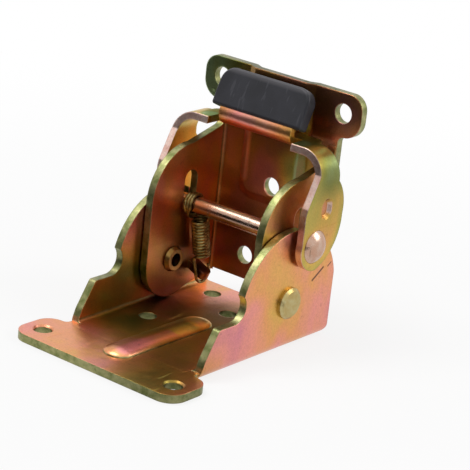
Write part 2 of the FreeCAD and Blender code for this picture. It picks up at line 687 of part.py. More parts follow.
def return_spring():
    wire = SPRING_WIRE / 2
    pitch = SPRING_WIRE * 1.05
    coil = SPRING_DIAMETER / 2 - wire
    x = -LEG_INNER + SPRING_SIDE
    root, along = lug_frame()
    run = (x - root.x) / along.x
    low = root + along * run - V(0, 0, SHEET / 2 / along.x)
    top = V(x, PIN_Y, PIN_Z)
    axis = low - top
    span = axis.Length
    axis.normalize()
    across = V(1, 0, 0)
    deep = axis.cross(across)
    loop_radius = PIN_DIAMETER / 2 + LOOP_CLEAR + wire
    loop_start = V(-LEG_INNER + LOOP_SIDE_GAP + wire, PIN_Y, PIN_Z)
    turns = SPRING_LOOP_TURNS + 0.25
    path = helix_points(loop_start, across, axis * -1, loop_radius, pitch, turns, TURN_STEPS)
    body_start = loop_radius + LEAD_IN_START
    side_x = V(x - coil, PIN_Y, PIN_Z)
    path.append((path[-1] + side_x + axis * (body_start * 0.45) + deep * (loop_radius * 0.95)) * 0.5)
    for down, rear in LEAD_IN:
        path.append(side_x + axis * (body_start * down) + deep * (loop_radius * rear))
    path += helix_points(top + axis * body_start, axis, across * -1, coil, pitch, SPRING_COILS, TURN_STEPS)
    body_end = body_start + pitch * SPRING_COILS
    gap = span - body_end
    for down, out, left in LEAD_OUT:
        path.append(top + axis * (body_end + gap * down) + deep * (coil + out) - across * left)
    for index in range(HOOK_STEPS + 1):
        angle = math.pi * HOOK_TURN * index / HOOK_STEPS
        path.append(low + deep * (HOOK_RADIUS * math.cos(angle)) + axis * (HOOK_RADIUS * math.sin(angle)))
    return wire_sweep(path, wire)


PIECES = [
    ("base_bracket", base_bracket),
    ("leg_bracket", leg_bracket),
    ("pivot_rivet_left", lambda: pivot_rivet(-1)),
    ("pivot_rivet_right", lambda: pivot_rivet(1)),
    ("lock_pin", lock_pin),
    ("release_yoke", release_yoke),
    ("grip_sleeve", grip_sleeve),
    ("return_spring", return_spring),
]

os.makedirs("parts", exist_ok=True)
for name, make in PIECES:
    shape = make()
    shape.exportStep(os.path.join("parts", name + ".step"))
    bounds = shape.optimalBoundingBox(False)
    print("%-18s solids %d valid %s volume %.1f  x %.2f..%.2f y %.2f..%.2f z %.2f..%.2f" % (
        name, len(shape.Solids), shape.isValid(), shape.Volume,
        bounds.XMin, bounds.XMax, bounds.YMin, bounds.YMax, bounds.ZMin, bounds.ZMax))
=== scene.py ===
"""Folding table leg bracket dressed for the studio: iridescent zinc plate, steel rivets, rubber grip."""
import bpy
import math
from collections import namedtuple
from mathutils import Matrix, Vector

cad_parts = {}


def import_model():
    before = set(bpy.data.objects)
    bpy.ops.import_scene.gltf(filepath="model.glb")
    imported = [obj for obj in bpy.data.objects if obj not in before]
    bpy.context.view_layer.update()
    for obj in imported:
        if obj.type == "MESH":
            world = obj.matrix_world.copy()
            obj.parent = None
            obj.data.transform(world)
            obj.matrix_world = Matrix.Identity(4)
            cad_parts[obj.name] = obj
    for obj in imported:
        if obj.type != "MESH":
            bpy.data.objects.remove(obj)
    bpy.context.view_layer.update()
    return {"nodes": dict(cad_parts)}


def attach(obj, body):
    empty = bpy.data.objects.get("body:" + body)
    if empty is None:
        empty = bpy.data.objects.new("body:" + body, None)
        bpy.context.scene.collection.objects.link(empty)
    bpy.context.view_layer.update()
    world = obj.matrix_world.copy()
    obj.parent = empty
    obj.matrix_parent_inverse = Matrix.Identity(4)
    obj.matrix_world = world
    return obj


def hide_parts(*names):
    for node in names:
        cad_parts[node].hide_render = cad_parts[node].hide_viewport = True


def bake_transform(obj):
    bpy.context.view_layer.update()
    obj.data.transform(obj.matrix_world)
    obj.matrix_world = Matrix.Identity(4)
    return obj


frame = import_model()
nodes = frame["nodes"]

MM = 0.001
WHITE = (1.0, 1.0, 1.0)

# Camera at the photo's angle: turns in degrees, places in metres
PHOTO_SIDE = 470.0
FOCAL_PIXELS = 1991.99
SENSOR_MM = 36.0
AZIMUTH = 36.792
ELEVATION = 19.079
ROLL = 6.358
CAMERA_AT = (0.2727, -0.3470, 0.1800)
CLIP_NEAR = 0.01
CLIP_FAR = 20.0

# Floor just under the part, in metres, and how white it looks near the part and far from it
FLOOR_Z = -0.0001
FLOOR_SIDE = 6.0
FLOOR_TONES = ((0.80, 0.80, 0.80), (0.84, 0.84, 0.84))
FLOOR_WHITE = 0.80
FLOOR_WHITE_FAR = 0.20
FLOOR_FADE_MM = (60.0, 260.0)

# Surroundings: white for the rays that see them, dimmer as light
SEEING_RAYS = ("Is Camera Ray", "Is Glossy Ray", "Is Transmission Ray")
AMBIENT = 0.55

# Dark studio cards, in metres
CARD_LEFT = -0.70
CARD_RIGHT = 0.55
CARD_FAR = -0.60
CARD_NEAR = -0.050
CARD_TOP = 0.30
CARD_LIFT = 0.0004
CARD_TONE = (0.015, 0.014, 0.013)

# Square lamps: name, place and side in metres, and power
LAMP_AIM = (0.0, 0.0, 0.03)
LAMPS = (
    ("key", (-0.25, -0.20, 0.65), 0.35, 2.2),
    ("rim", (0.45, 0.35, 0.40), 0.30, 1.2),
)

# Upper hole of the leg plate, open through the pressed pad: millimetres, and degrees for the edge
TOP_HOLE_AT = (1.0, 29.8, 33.0)
TOP_HOLE_RADIUS = 2.33
TOP_HOLE_CUT = 3.0
TOP_HOLE_SIDES = 48
MERGE_GAP = 0.001
SHARP_EDGE = 28.0

# Joint between the wing plate and the floor, flat on top and sloping into the sheet, in millimetres
JOINT_HALF = 17.1
JOINT_FRONT = -18.2
JOINT_REAR = -13.4
JOINT_TOP = 2.02
JOINT_FOOT = 1.6
JOINT_SLOPE = 8.0
JOINT_END_SLOPE = 1.0

# Rounded crown of the floor's rib, with its root in the sheet, in millimetres
RIB_START = -21.4
RIB_END = 5.9
RIB_HALF = 4.0
RIB_CROWN = 1.42
RIB_FOOT = 1.99
RIB_ROOT = 1.2
RIB_RINGS = 10
RIB_TURN = 16

# Colours of the chromate film as it thickens: silver green, olive, gold, orange, pink, violet, green
FILM = (
    (0.00, (166, 186, 130)),
    (0.16, (164, 164, 78)),
    (0.34, (214, 172, 84)),
    (0.50, (226, 158, 100)),
    (0.66, (230, 150, 132)),
    (0.84, (210, 132, 140)),
    (1.00, (160, 150, 120)),
)

# Colours along the sheared edges; the pink ones of the yoke are their own tone brightened by a painted
# highlight
GREEN_EDGE = (
    (0.00, (80, 86, 48)),
    (0.35, (118, 124, 74)),
    (0.65, (170, 166, 118)),
    (1.00, (122, 100, 64)),
)
PINK_EDGE_AND_HIGHLIGHT = (
    (0.00, (176, 128, 112)),
    (0.35, (232, 186, 172)),
    (0.65, (246, 220, 208)),
    (1.00, (190, 150, 128)),
)

# Single colours, as 8-bit levels: dirt, scratch marks, worn steel, the grip and the painted highlight
# along the grip's top rim
DIRT_TONE = (70, 46, 26)
MARK_TONE = (46, 32, 30)
WORN_TONE = (74, 62, 48)
GRIP_DARK = (27, 27, 33)
GRIP_LIGHT = (38, 38, 45)
GRIP_HIGHLIGHT_TONE = (96, 94, 98)
GRIP_RUB_TONE = (78, 78, 84)

# Steel parts: the darker and the lighter of their two tones; the left rivet's are darker and browner as
# painted shade
RIVET_TONES = ((176, 152, 92), (190, 178, 130))
LEFT_RIVET_SHADED_TONES = ((136, 96, 46), (158, 128, 74))
PIN_TONES = ((188, 146, 122), (200, 172, 154))
SPRING_TONES = ((108, 92, 50), (176, 162, 108))

# Noises: scale per metre, detail, roughness, warp, and the stretch along each axis
Noise = namedtuple("Noise", "scale detail rough warp stretch", defaults=(0.0, None))
CLOUDS = Noise(62.0, 2.0, 0.45, 0.9)
STREAKS = Noise(230.0, 3.0, 0.60, 0.4, (1.0, 1.0, 0.35))
SPECKLE = Noise(2400.0, 2.0, 0.60)
CUT_GRAIN = Noise(420.0, 3.0, 0.60, 0.3)
DIRT = Noise(900.0, 3.0, 0.65)
HAIRS = Noise(150.0, 2.0, 0.50, 0.0, (4.0, 0.5, 9.0))
DENTS = Noise(140.0, 2.0, 0.50)
STEEL_CLOUDS = Noise(260.0, 3.0, 0.60, 0.6)
SPRING_CLOUDS = Noise(500.0, 3.0, 0.60, 0.6)
STEEL_WEAR = Noise(700.0, 3.0, 0.60, 0.2, (1.0, 1.0, 0.3))
STEEL_GRAIN = Noise(3000.0, 2.0, 0.50)
GRIP_CLOUDS = Noise(120.0, 3.0, 0.50)
GRIP_RUBS = Noise(300.0, 2.0, 0.50, 0.2, (3.0, 1.0, 0.4))
GRIP_GRAIN = Noise(2600.0, 3.0, 0.60)
FLOOR_GRAIN = Noise(40.0, 2.0, 0.50)

# Levels of a noise between which its effect fades in
GRAIN_FADE = (0.30, 0.70)
DIRT_FADE = (0.60, 0.74)
HAIR_FADE = (0.66, 0.71)
STEEL_FADE = (0.32, 0.68)
STEEL_WEAR_FADE = (0.60, 0.72)
GRIP_FADE = (0.35, 0.70)
GRIP_RUB_FADE = (0.62, 0.72)

# Zinc plate: shares of its layers, roughness and depths in millimetres
STREAK_DRIFT = 0.16
GRAIN_SHARE = 0.14
GRAIN_BALANCE = 0.7
DIRT_SHARE = 0.22
MARK_SHARE = 0.85
DARKEST_LEVEL = 0.03
ZINC_ROUGH = 0.27
ZINC_CLOUD_ROUGH = 0.10
HAIR_ROUGH = 0.16
EDGE_ROUGH = 0.05
ZINC_EDGE_MM = 0.45
DENT_DEPTH_MM = 0.18
SPECKLE_DEPTH_MM = 0.010
HAIR_HEIGHT = -0.6

# Steel: share of its worn patches, roughness and depths in millimetres
STEEL_WORN = 0.5
SPRING_WORN = 0.45
STEEL_CLOUD_ROUGH = 0.12
STEEL_WEAR_ROUGH = 0.15
STEEL_EDGE_MM = 0.2
STEEL_DEPTH_MM = 0.016
STEEL_CLOUD_HEIGHT = 2.0

# Rubber: shares, roughness, reflection and depth in millimetres
# The first share is that of the painted highlight along the grip's top rim
GRIP_HIGHLIGHT_SHARE = 0.5
GRIP_RUB_SHARE = 0.30
GRIP_ROUGH = 0.46
GRIP_CLOUD_ROUGH = 0.12
GRIP_SPECULAR = 0.35
GRIP_DEPTH_MM = 0.022

# Share of a patch's radius, and of a band's width, that has the full step
SPOT_CORE = 0.15
BAND_CORE = 0.3

# Samples of the rounded edges
EDGE_SAMPLES = 4

# Where the sheared edges of each sheet lie: fades along one axis, in metres
BASE_CHEEK_X = (0.0170, 0.0179)
BASE_CHEEK_Z = (0.0026, 0.0034)
BASE_FLOOR_X = (0.0195, 0.0175)
BASE_FLOOR_Z = (0.0032, 0.0026)
BASE_WING_Y = (-0.0165, -0.0175)
LEG_CHEEK_X = (0.0155, 0.0159)
LEG_PLATE_Y = (0.0288, 0.0296)
YOKE_ARM_X = (0.0124, 0.0128)
YOKE_FOOT_Z = (0.0235, 0.0225)
# Height band of the painted highlight along the grip's top rim
GRIP_HIGHLIGHT_Z = (0.0596, 0.0606)

# How far a face has to turn away from an axis to count as an edge, and towards it as the yoke's front
EDGE_FACING = (0.75, 0.35)
YOKE_FRONT_FACING = (0.55, 0.80)

# Base: patches of the film, each a centre and a radius in millimetres and a step
BASE_FILM_SPOTS = (
    ((20.2, 13.0, 11.0), 10.0, -0.20),  # right cheek around the rivet
    ((20.2, 12.0, 22.0), 8.0, -0.12),  # top of the right cheek
    ((20.2, -4.0, 5.0), 14.0, 0.10),  # front foot of the right cheek
    ((20.2, 30.0, 8.0), 14.0, 0.08),  # rear of the right cheek
    ((0.0, -4.0, 2.0), 22.0, -0.20),  # floor around the rib
    ((2.0, 12.0, 2.0), 16.0, -0.24),  # floor under the pin
    ((-18.2, 0.0, 8.0), 16.0, -0.36),  # inside of the left cheek
    ((16.0, -27.0, 2.0), 14.0, -0.30),  # right wing
    ((0.6, 6.0, 3.0), 4.5, 0.24),  # rear end of the rib
    ((10.0, -14.0, 2.0), 11.0, -0.22),  # floor right of the rib
    ((-9.0, -8.0, 2.0), 11.0, -0.16),  # floor left of the rib
)

# Base: patches of painted light and shade, among them a painted glow at the rear end of the rib
BASE_PAINTED_LIGHT_SPOTS = (
    ((18.0, -28.0, 2.0), 26.0, -0.32),  # right wing and the floor beside it
    ((0.0, -4.0, 2.0), 24.0, -0.10),  # floor around the rib
    ((2.0, 12.0, 2.0), 16.0, -0.24),  # floor under the pin
    ((0.6, 6.0, 3.0), 4.5, 1.6),  # rear end of the rib
    ((10.0, -14.0, 2.0), 11.0, -0.24),  # floor right of the rib
    ((-9.0, -8.0, 2.0), 11.0, -0.14),  # floor left of the rib
    ((2.0, 22.0, 2.0), 12.0, -0.28),  # rear of the floor
    ((16.0, -27.0, 2.0), 14.0, -0.10),  # right wing
    ((-18.2, 2.0, 8.0), 20.0, -0.42),  # inside of the left cheek
)

# Base: middles of the screw holes, whose walls are darkened with painted shade, in millimetres
BASE_HOLES = (
    (-20.2, -25.9, 1.0),
    (20.2, -25.9, 1.0),
    (-10.75, 0.6, 1.0),
    (-10.75, 25.3, 1.0),
    (0.4, 17.8, 1.0),
)
HOLE_SHADE = 2.8
HOLE_SHADE_STEP = -0.55

# Base: bands along the rib, which paint a highlight on it and tint that highlight, and scratch marks on
# the right cheek, between two points, with width and step
RIB_HIGHLIGHT_FILM_BANDS = (
    ((1.6, -22.0, 3.2), (1.6, -6.0, 3.2), 2.6, 0.22),
    ((1.6, -3.0, 3.2), (1.6, 2.0, 3.2), 2.8, -0.12),
)
RIB_HIGHLIGHT_BANDS = (
    ((1.8, -24.0, 3.2), (1.8, 0.0, 3.2), 2.4, 0.50),
    ((1.6, -3.0, 3.2), (1.6, 2.0, 3.2), 2.8, 0.50),
)
CHEEK_MARKS = (
    ((20.2, 23.3, 15.9), (20.2, 27.2, 18.4), 0.42),
    ((20.2, 29.1, 18.3), (20.2, 30.3, 19.1), 0.24),
)

# Leg bracket: patches of the film
LEG_FILM_SPOTS = (
    ((-20.0, 30.0, 56.0), 16.0, -0.46),  # left half of the T head
    ((8.0, 29.0, 38.0), 9.0, -0.26),  # right of the stiffener
    ((-1.0, 29.0, 36.0), 8.0, 0.24),  # crest of the stiffener
    ((21.0, 29.0, 54.0), 9.0, 0.24),  # right end of the T head
)

# Leg bracket: patches of painted light and shade
LEG_PAINTED_LIGHT_SPOTS = (
    ((0.0, 29.5, 57.0), 30.0, -0.62),  # T head, shaded by the grip
    ((21.0, 29.0, 52.0), 9.0, 0.16),  # right end of the T head
    ((9.0, 29.4, 38.0), 9.0, 0.75),  # right of the stiffener
    ((-15.9, 13.0, 30.0), 6.0, 0.40),  # left cheek above the pin
    ((-3.0, 29.5, 26.0), 20.0, -0.24),  # lower half of the plate
    ((15.9, 12.0, 24.0), 15.0, -0.36),  # inside of the right cheek
    ((-15.9, 14.0, 8.0), 17.0, -0.74),  # foot of the left cheek
    ((-15.9, 8.0, 24.0), 12.0, -0.15),  # front of the left cheek
    ((-10.0, 30.0, 16.0), 14.0, -0.30),  # plate behind the spring
    ((-13.0, 22.4, 9.0), 4.5, -0.45),  # lug of the spring
)

# Leg bracket: painted highlights along both sides of the stiffener, and film shifts that tint them
STIFFENER_HIGHLIGHT_FILM_BANDS = (
    ((-8.2, 29.4, 50.0), (-8.2, 29.4, 34.0), 2.2, 0.20),
    ((8.4, 29.4, 50.0), (8.4, 29.4, 34.0), 2.0, -0.30),
)
STIFFENER_HIGHLIGHT_BANDS = (
    ((-8.2, 29.4, 50.0), (-8.2, 29.4, 33.5), 2.0, 1.0),
    ((8.4, 29.4, 50.0), (8.4, 29.4, 33.0), 2.0, 0.9),
)

# Yoke: patches of the film
YOKE_FILM_SPOTS = (
    ((0.0, 19.0, 49.0), 16.0, 0.34),  # web and foot of the tab
    ((23.0, 20.0, 26.0), 7.0, 0.14),  # foot of the right arm
    ((23.0, 24.0, 44.0), 8.0, -0.14),  # head of the right arm
    ((22.6, 21.6, 35.2), 3.2, 0.26),  # dimple of the right arm
    ((-21.0, 24.0, 34.0), 10.0, 0.14),  # inside of the left arm
    ((-13.8, 21.0, 48.6), 3.2, -0.60),  # left relief notch
    ((13.8, 21.0, 48.6), 3.2, -0.60),  # right relief notch
)

# Yoke: patches of painted light and shade, with painted highlights on the tab's web and the relief notches
YOKE_PAINTED_LIGHT_SPOTS = (
    ((23.0, 22.0, 44.0), 10.0, -0.34),  # head of the right arm
    ((23.0, 22.0, 36.0), 14.0, -0.24),  # middle of the right arm
    ((0.0, 21.0, 50.0), 13.0, 0.50),  # web and foot of the tab
    ((-21.0, 24.0, 34.0), 11.0, 0.60),  # inside of the left arm
    ((-13.8, 21.0, 48.6), 3.2, 0.20),  # left relief notch
    ((13.8, 21.0, 48.6), 3.2, 0.20),  # right relief notch
)


# Objects and meshes

def add_object(name, data):
    """Object with the given mesh, lamp or camera, linked to the scene."""
    piece = bpy.data.objects.new(name, data)
    bpy.context.scene.collection.objects.link(piece)
    return piece


def add_mesh(name, points, faces):
    """Object with a mesh of the given points, in metres, and faces."""
    mesh = bpy.data.meshes.new(name)
    mesh.from_pydata(points, [], faces)
    return add_object(name, mesh)


def dress(node, material):
    """Gives an object one material and smooth shading."""
    node.data.materials.clear()
    node.data.materials.append(material)
    for polygon in node.data.polygons:
        polygon.use_smooth = True


# Colours and shader nodes

def linear(value):
    """An 8-bit sRGB level as the linear value that Blender mixes."""
    level = value / 255.0
    return level / 12.92 if level <= 0.04045 else ((level + 0.055) / 1.055) ** 2.4


def tint(red, green, blue):
    return (linear(red), linear(green), linear(blue))


class Net:
    """Short names for the shader nodes of one material."""

    def __init__(self, name):
        self.material = bpy.data.materials.new(name)
        self.material.use_nodes = True
        self.tree = self.material.node_tree
        self.tree.nodes.clear()
        self.output = self.new("ShaderNodeOutputMaterial")
        coords = self.new("ShaderNodeTexCoord")
        self.place = coords.outputs["Object"]
        self.facing = coords.outputs["Normal"]

    def new(self, kind):
        return self.tree.nodes.new(kind)

    def feed(self, socket, value):
        """Links a socket to another one, or sets its value."""
        if isinstance(value, bpy.types.NodeSocket):
            self.tree.links.new(value, socket)
        elif isinstance(value, tuple) and len(value) == 3 and socket.type == "RGBA":
            socket.default_value = (*value, 1.0)
        else:
            socket.default_value = value

    def math(self, kind, a, b=0.0, clamp=False):
        node = self.new("ShaderNodeMath")
        node.operation = kind
        node.use_clamp = clamp
        self.feed(node.inputs[0], a)
        self.feed(node.inputs[1], b)
        return node.outputs[0]

    def add(self, *terms):
        total = terms[0]
        for term in terms[1:]:
            total = self.math("ADD", total, term)
        return total

    def times(self, a, b):
        return self.math("MULTIPLY", a, b)

    def invert(self, a):
        return self.math("SUBTRACT", 1.0, a)

    def centred(self, value):
        """A noise as a swing around 0."""
        return self.math("SUBTRACT", value, 0.5)

    def vector(self, kind, a, b):
        """Vector node of one kind, fed with two vectors."""
        node = self.new("ShaderNodeVectorMath")
        node.operation = kind
        self.feed(node.inputs[0], a)
        self.feed(node.inputs[1], b)
        return node.outputs

    def smooth(self, value, low, high):
        """Fades from 0 at low to 1 at high, which may be the lesser of the two."""
        node = self.new("ShaderNodeMapRange")
        node.interpolation_type = "SMOOTHSTEP"
        self.feed(node.inputs["Value"], value)
        node.inputs["From Min"].default_value = min(low, high)
        node.inputs["From Max"].default_value = max(low, high)
        return node.outputs[0] if low < high else self.invert(node.outputs[0])

    def split(self, vector):
        node = self.new("ShaderNodeSeparateXYZ")
        self.feed(node.inputs[0], vector)
        return node.outputs[0], node.outputs[1], node.outputs[2]

    def distance(self, point):
        """Distance to a point, both in millimetres."""
        gap = self.vector("DISTANCE", self.place, [c * MM for c in point])
        return self.times(gap["Value"], 1.0 / MM)

    def stroke(self, start, end, width):
        """1 on a thin line between two points given in millimetres, 0 away from it."""
        start = Vector(start) * MM
        run = Vector(end) * MM - start
        from_start = self.vector("SUBTRACT", self.place, start)
        along = self.vector("DOT_PRODUCT", from_start[0], run / run.length_squared)
        nearest = self.new("ShaderNodeVectorMath")
        nearest.operation = "SCALE"
        nearest.inputs[0].default_value = run
        self.feed(nearest.inputs["Scale"], self.math("MULTIPLY", along["Value"], 1.0, True))
        gap = self.vector("DISTANCE", from_start[0], nearest.outputs[0])
        return self.smooth(gap["Value"], width * MM, width * BAND_CORE * MM)

    def noise(self, kind):
        """One of the noises named above, from 0 to 1."""
        node = self.new("ShaderNodeTexNoise")
        place = self.vector("MULTIPLY", self.place, kind.stretch)[0] if kind.stretch else self.place
        self.feed(node.inputs["Vector"], place)
        node.inputs["Scale"].default_value = kind.scale
        node.inputs["Detail"].default_value = kind.detail
        node.inputs["Roughness"].default_value = kind.rough
        node.inputs["Distortion"].default_value = kind.warp
        return node.outputs[0]

    def ramp(self, value, stops):
        """Colour at a value between the stops, each a position and a colour in 8-bit levels."""
        node = self.new("ShaderNodeValToRGB")
        elements = node.color_ramp.elements
        elements.remove(elements[1])
        for index, (position, colour) in enumerate(stops):
            element = elements.new(position) if index else elements[0]
            element.position = position
            element.color = (*tint(*colour), 1.0)
        self.feed(node.inputs[0], value)
        return node.outputs[0]

    def mix(self, share, a, b, kind="MIX"):
        node = self.new("ShaderNodeMix")
        node.data_type = "RGBA"
        node.blend_type = kind
        self.feed(node.inputs[0], share)
        self.feed(node.inputs[6], a)
        self.feed(node.inputs[7], b)
        return node.outputs[2]

    def soft_edge(self, radius_mm):
        """Normal that rounds the sharp edges."""
        node = self.new("ShaderNodeBevel")
        node.samples = EDGE_SAMPLES
        node.inputs["Radius"].default_value = radius_mm * MM
        return node.outputs[0]

    def bump(self, height, depth_mm, normal=None):
        node = self.new("ShaderNodeBump")
        node.inputs["Strength"].default_value = 1.0
        node.inputs["Distance"].default_value = depth_mm * MM
        self.feed(node.inputs["Height"], height)
        if normal is not None:
            self.feed(node.inputs["Normal"], normal)
        return node.outputs[0]

    def matt(self, colour):
        node = self.new("ShaderNodeBsdfDiffuse")
        self.feed(node.inputs["Color"], colour)
        return node.outputs[0]

    def show(self, surface):
        self.tree.links.new(surface, self.output.inputs[0])
        return self.material

    def shader(self, metallic, **sockets):
        """Ends the material in a principled shader with the given sockets."""
        node = self.new("ShaderNodeBsdfPrincipled")
        node.inputs["Metallic"].default_value = metallic
        for name, value in sockets.items():
            self.feed(node.inputs[name.replace("_", " ")], value)
        return self.show(node.outputs[0])


# Materials of the part

def add_spots(net, start, spots):
    """Adds smooth round patches to a value: each is a centre and radius in millimetres, and a step."""
    total = start
    for centre, radius, step in spots:
        patch = net.smooth(net.distance(centre), radius, radius * SPOT_CORE)
        total = net.add(total, net.times(patch, step))
    return total


def add_bands(net, start, bands):
    """Adds smooth bands to a value: each is two points and a width in millimetres, and a step."""
    total = start
    for low, high, width, step in bands:
        total = net.add(total, net.times(net.stroke(low, high, width), step))
    return total


def zinc(name, film_start, drift, edge_mask, edge_film, film_spots, painted_light_spots,
         highlight_film_bands=(), painted_highlight_bands=(), marks=()):
    """Yellow iridescent zinc on pressed sheet; edge_mask(net) marks the sheared edges.

    The film lies at film_start in FILM and drifts with the clouds. Its spots shift it, and its highlight
    film bands tint the painted highlights.
    The painted light spots and highlight bands make the plate lighter or darker as painted light and
    shade.
    """
    net = Net(name)
    clouds = net.noise(CLOUDS)
    streaks = net.noise(STREAKS)
    speckle = net.noise(SPECKLE)
    film = net.add(film_start, net.times(net.centred(clouds), drift),
                   net.times(net.centred(streaks), STREAK_DRIFT))
    film = add_bands(net, add_spots(net, film, film_spots), highlight_film_bands)
    film = net.math("MAXIMUM", film, 0.0, True)
    colour = net.ramp(film, FILM)
    edge = edge_mask(net)
    colour = net.mix(edge, colour, net.ramp(net.noise(CUT_GRAIN), edge_film))
    # Painted light and shade: the level lightens or darkens the colour patch by patch and band by band,
    # with the grain on top
    level = add_bands(net, add_spots(net, 1.0, painted_light_spots), painted_highlight_bands)
    level = net.math("MAXIMUM", level, DARKEST_LEVEL)
    grain = net.smooth(speckle, *GRAIN_FADE)
    balance = 1.0 - GRAIN_SHARE * GRAIN_BALANCE
    level = net.times(level, net.add(balance, net.times(grain, GRAIN_SHARE)))
    grey = net.new("ShaderNodeCombineColor")
    for socket in grey.inputs[:3]:
        net.feed(socket, level)
    colour = net.mix(1.0, colour, grey.outputs[0], "MULTIPLY")
    dirt = net.smooth(net.noise(DIRT), *DIRT_FADE)
    colour = net.mix(net.times(dirt, DIRT_SHARE), colour, tint(*DIRT_TONE))
    for start, end, width in marks:
        colour = net.mix(net.times(net.stroke(start, end, width), MARK_SHARE), colour, tint(*MARK_TONE))
    hairs = net.smooth(net.noise(HAIRS), *HAIR_FADE)
    roughness = net.add(ZINC_ROUGH, net.times(clouds, ZINC_CLOUD_ROUGH),
                        net.times(hairs, HAIR_ROUGH), net.times(edge, EDGE_ROUGH))
    normal = net.soft_edge(ZINC_EDGE_MM)
    normal = net.bump(net.noise(DENTS), DENT_DEPTH_MM, normal)
    normal = net.bump(net.add(speckle, net.times(hairs, HAIR_HEIGHT)), SPECKLE_DEPTH_MM, normal)
    return net.shader(1.0, Base_Color=colour, Roughness=roughness, Normal=normal)


def across(net, axis):
    """1 where the surface doesn't face along the given axis, 0 where it does."""
    part = net.math("ABSOLUTE", net.split(net.facing)[axis])
    return net.smooth(part, *EDGE_FACING)


def base_edges(net):
    """Rims of the base's cheeks, and of its floor and wings."""
    x, y, z = net.split(net.place)
    reach = net.math("ABSOLUTE", x)
    cheek = net.times(net.smooth(reach, *BASE_CHEEK_X), net.smooth(z, *BASE_CHEEK_Z))
    flat = net.smooth(z, *BASE_FLOOR_Z)
    plate = net.math("MAXIMUM", net.smooth(reach, *BASE_FLOOR_X), net.smooth(y, *BASE_WING_Y))
    flat = net.times(flat, plate)
    return net.add(net.times(cheek, across(net, 0)), net.times(flat, across(net, 2)))


def leg_edges(net):
    """Rims of the leg bracket's cheeks and of its back plate."""
    x, y, _ = net.split(net.place)
    rear = net.smooth(y, *LEG_PLATE_Y)
    cheek = net.times(net.invert(rear), net.smooth(net.math("ABSOLUTE", x), *LEG_CHEEK_X))
    return net.add(net.times(cheek, across(net, 0)), net.times(rear, across(net, 1)))


def yoke_edges(net):
    """Front rims of the yoke's arms and the rims around their feet."""
    x, _, z = net.split(net.place)
    arm = net.smooth(net.math("ABSOLUTE", x), *YOKE_ARM_X)
    ahead = net.smooth(net.math("ABSOLUTE", net.split(net.facing)[1]), *YOKE_FRONT_FACING)
    foot = net.times(net.smooth(z, *YOKE_FOOT_Z), across(net, 0))
    return net.times(arm, net.math("MAXIMUM", ahead, foot))


def steel(name, tones, rough, clouds=STEEL_CLOUDS, worn=STEEL_WORN):
    """Plated steel in two tones with worn patches and a fine grain."""
    net = Net(name)
    cloud = net.noise(clouds)
    colour = net.mix(net.smooth(cloud, *STEEL_FADE), tint(*tones[0]), tint(*tones[1]))
    dark = net.smooth(net.noise(STEEL_WEAR), *STEEL_WEAR_FADE)
    colour = net.mix(net.times(dark, worn), colour, tint(*WORN_TONE))
    roughness = net.add(rough, net.times(cloud, STEEL_CLOUD_ROUGH), net.times(dark, STEEL_WEAR_ROUGH))
    height = net.add(net.times(cloud, STEEL_CLOUD_HEIGHT), net.noise(STEEL_GRAIN))
    normal = net.bump(height, STEEL_DEPTH_MM, net.soft_edge(STEEL_EDGE_MM))
    return net.shader(1.0, Base_Color=colour, Roughness=roughness, Normal=normal)


def rubber(name):
    """Matt black moulding with a fine grain, rubbed patches and a painted highlight along its top rim."""
    net = Net(name)
    cloud = net.noise(GRIP_CLOUDS)
    colour = net.mix(net.smooth(cloud, *GRIP_FADE), tint(*GRIP_DARK), tint(*GRIP_LIGHT))
    # Painted highlight: a lighter band along the grip's top rim
    rim = net.smooth(net.split(net.place)[2], *GRIP_HIGHLIGHT_Z)
    colour = net.mix(net.times(rim, GRIP_HIGHLIGHT_SHARE), colour, tint(*GRIP_HIGHLIGHT_TONE))
    rubs = net.smooth(net.noise(GRIP_RUBS), *GRIP_RUB_FADE)
    colour = net.mix(net.times(rubs, GRIP_RUB_SHARE), colour, tint(*GRIP_RUB_TONE))
    roughness = net.add(GRIP_ROUGH, net.times(cloud, GRIP_CLOUD_ROUGH))
    normal = net.bump(net.noise(GRIP_GRAIN), GRIP_DEPTH_MM)
    return net.shader(0.0, Base_Color=colour, Roughness=roughness, Normal=normal,
                      Specular_IOR_Level=GRIP_SPECULAR)


# Painted light and shade on the base, with painted shade in the screw holes
base_painted_light = BASE_PAINTED_LIGHT_SPOTS + tuple((place, HOLE_SHADE, HOLE_SHADE_STEP) for place in BASE_HOLES)
zinc_base = zinc(
    "zinc_base", film_start=0.60, drift=0.62, edge_mask=base_edges, edge_film=GREEN_EDGE,
    film_spots=BASE_FILM_SPOTS, painted_light_spots=base_painted_light,
    highlight_film_bands=RIB_HIGHLIGHT_FILM_BANDS, painted_highlight_bands=RIB_HIGHLIGHT_BANDS, marks=CHEEK_MARKS)
zinc_leg = zinc(
    "zinc_leg", film_start=0.50, drift=0.80, edge_mask=leg_edges, edge_film=GREEN_EDGE,
    film_spots=LEG_FILM_SPOTS, painted_light_spots=LEG_PAINTED_LIGHT_SPOTS,
    highlight_film_bands=STIFFENER_HIGHLIGHT_FILM_BANDS, painted_highlight_bands=STIFFENER_HIGHLIGHT_BANDS)
zinc_yoke = zinc(
    "zinc_yoke", film_start=0.30, drift=0.60, edge_mask=yoke_edges, edge_film=PINK_EDGE_AND_HIGHLIGHT,
    film_spots=YOKE_FILM_SPOTS, painted_light_spots=YOKE_PAINTED_LIGHT_SPOTS)
rivet_steel = steel("rivet_steel", RIVET_TONES, rough=0.26)
pin_steel = steel("pin_steel", PIN_TONES, rough=0.17)
# The left rivet: rivet steel darkened with painted shade inside the bracket
rivet_steel_shaded_left = steel("rivet_steel_shaded_left", LEFT_RIVET_SHADED_TONES, rough=0.28)
spring_steel = steel("spring_steel", SPRING_TONES, rough=0.26, clouds=SPRING_CLOUDS, worn=SPRING_WORN)
grip_rubber = rubber("grip_rubber")

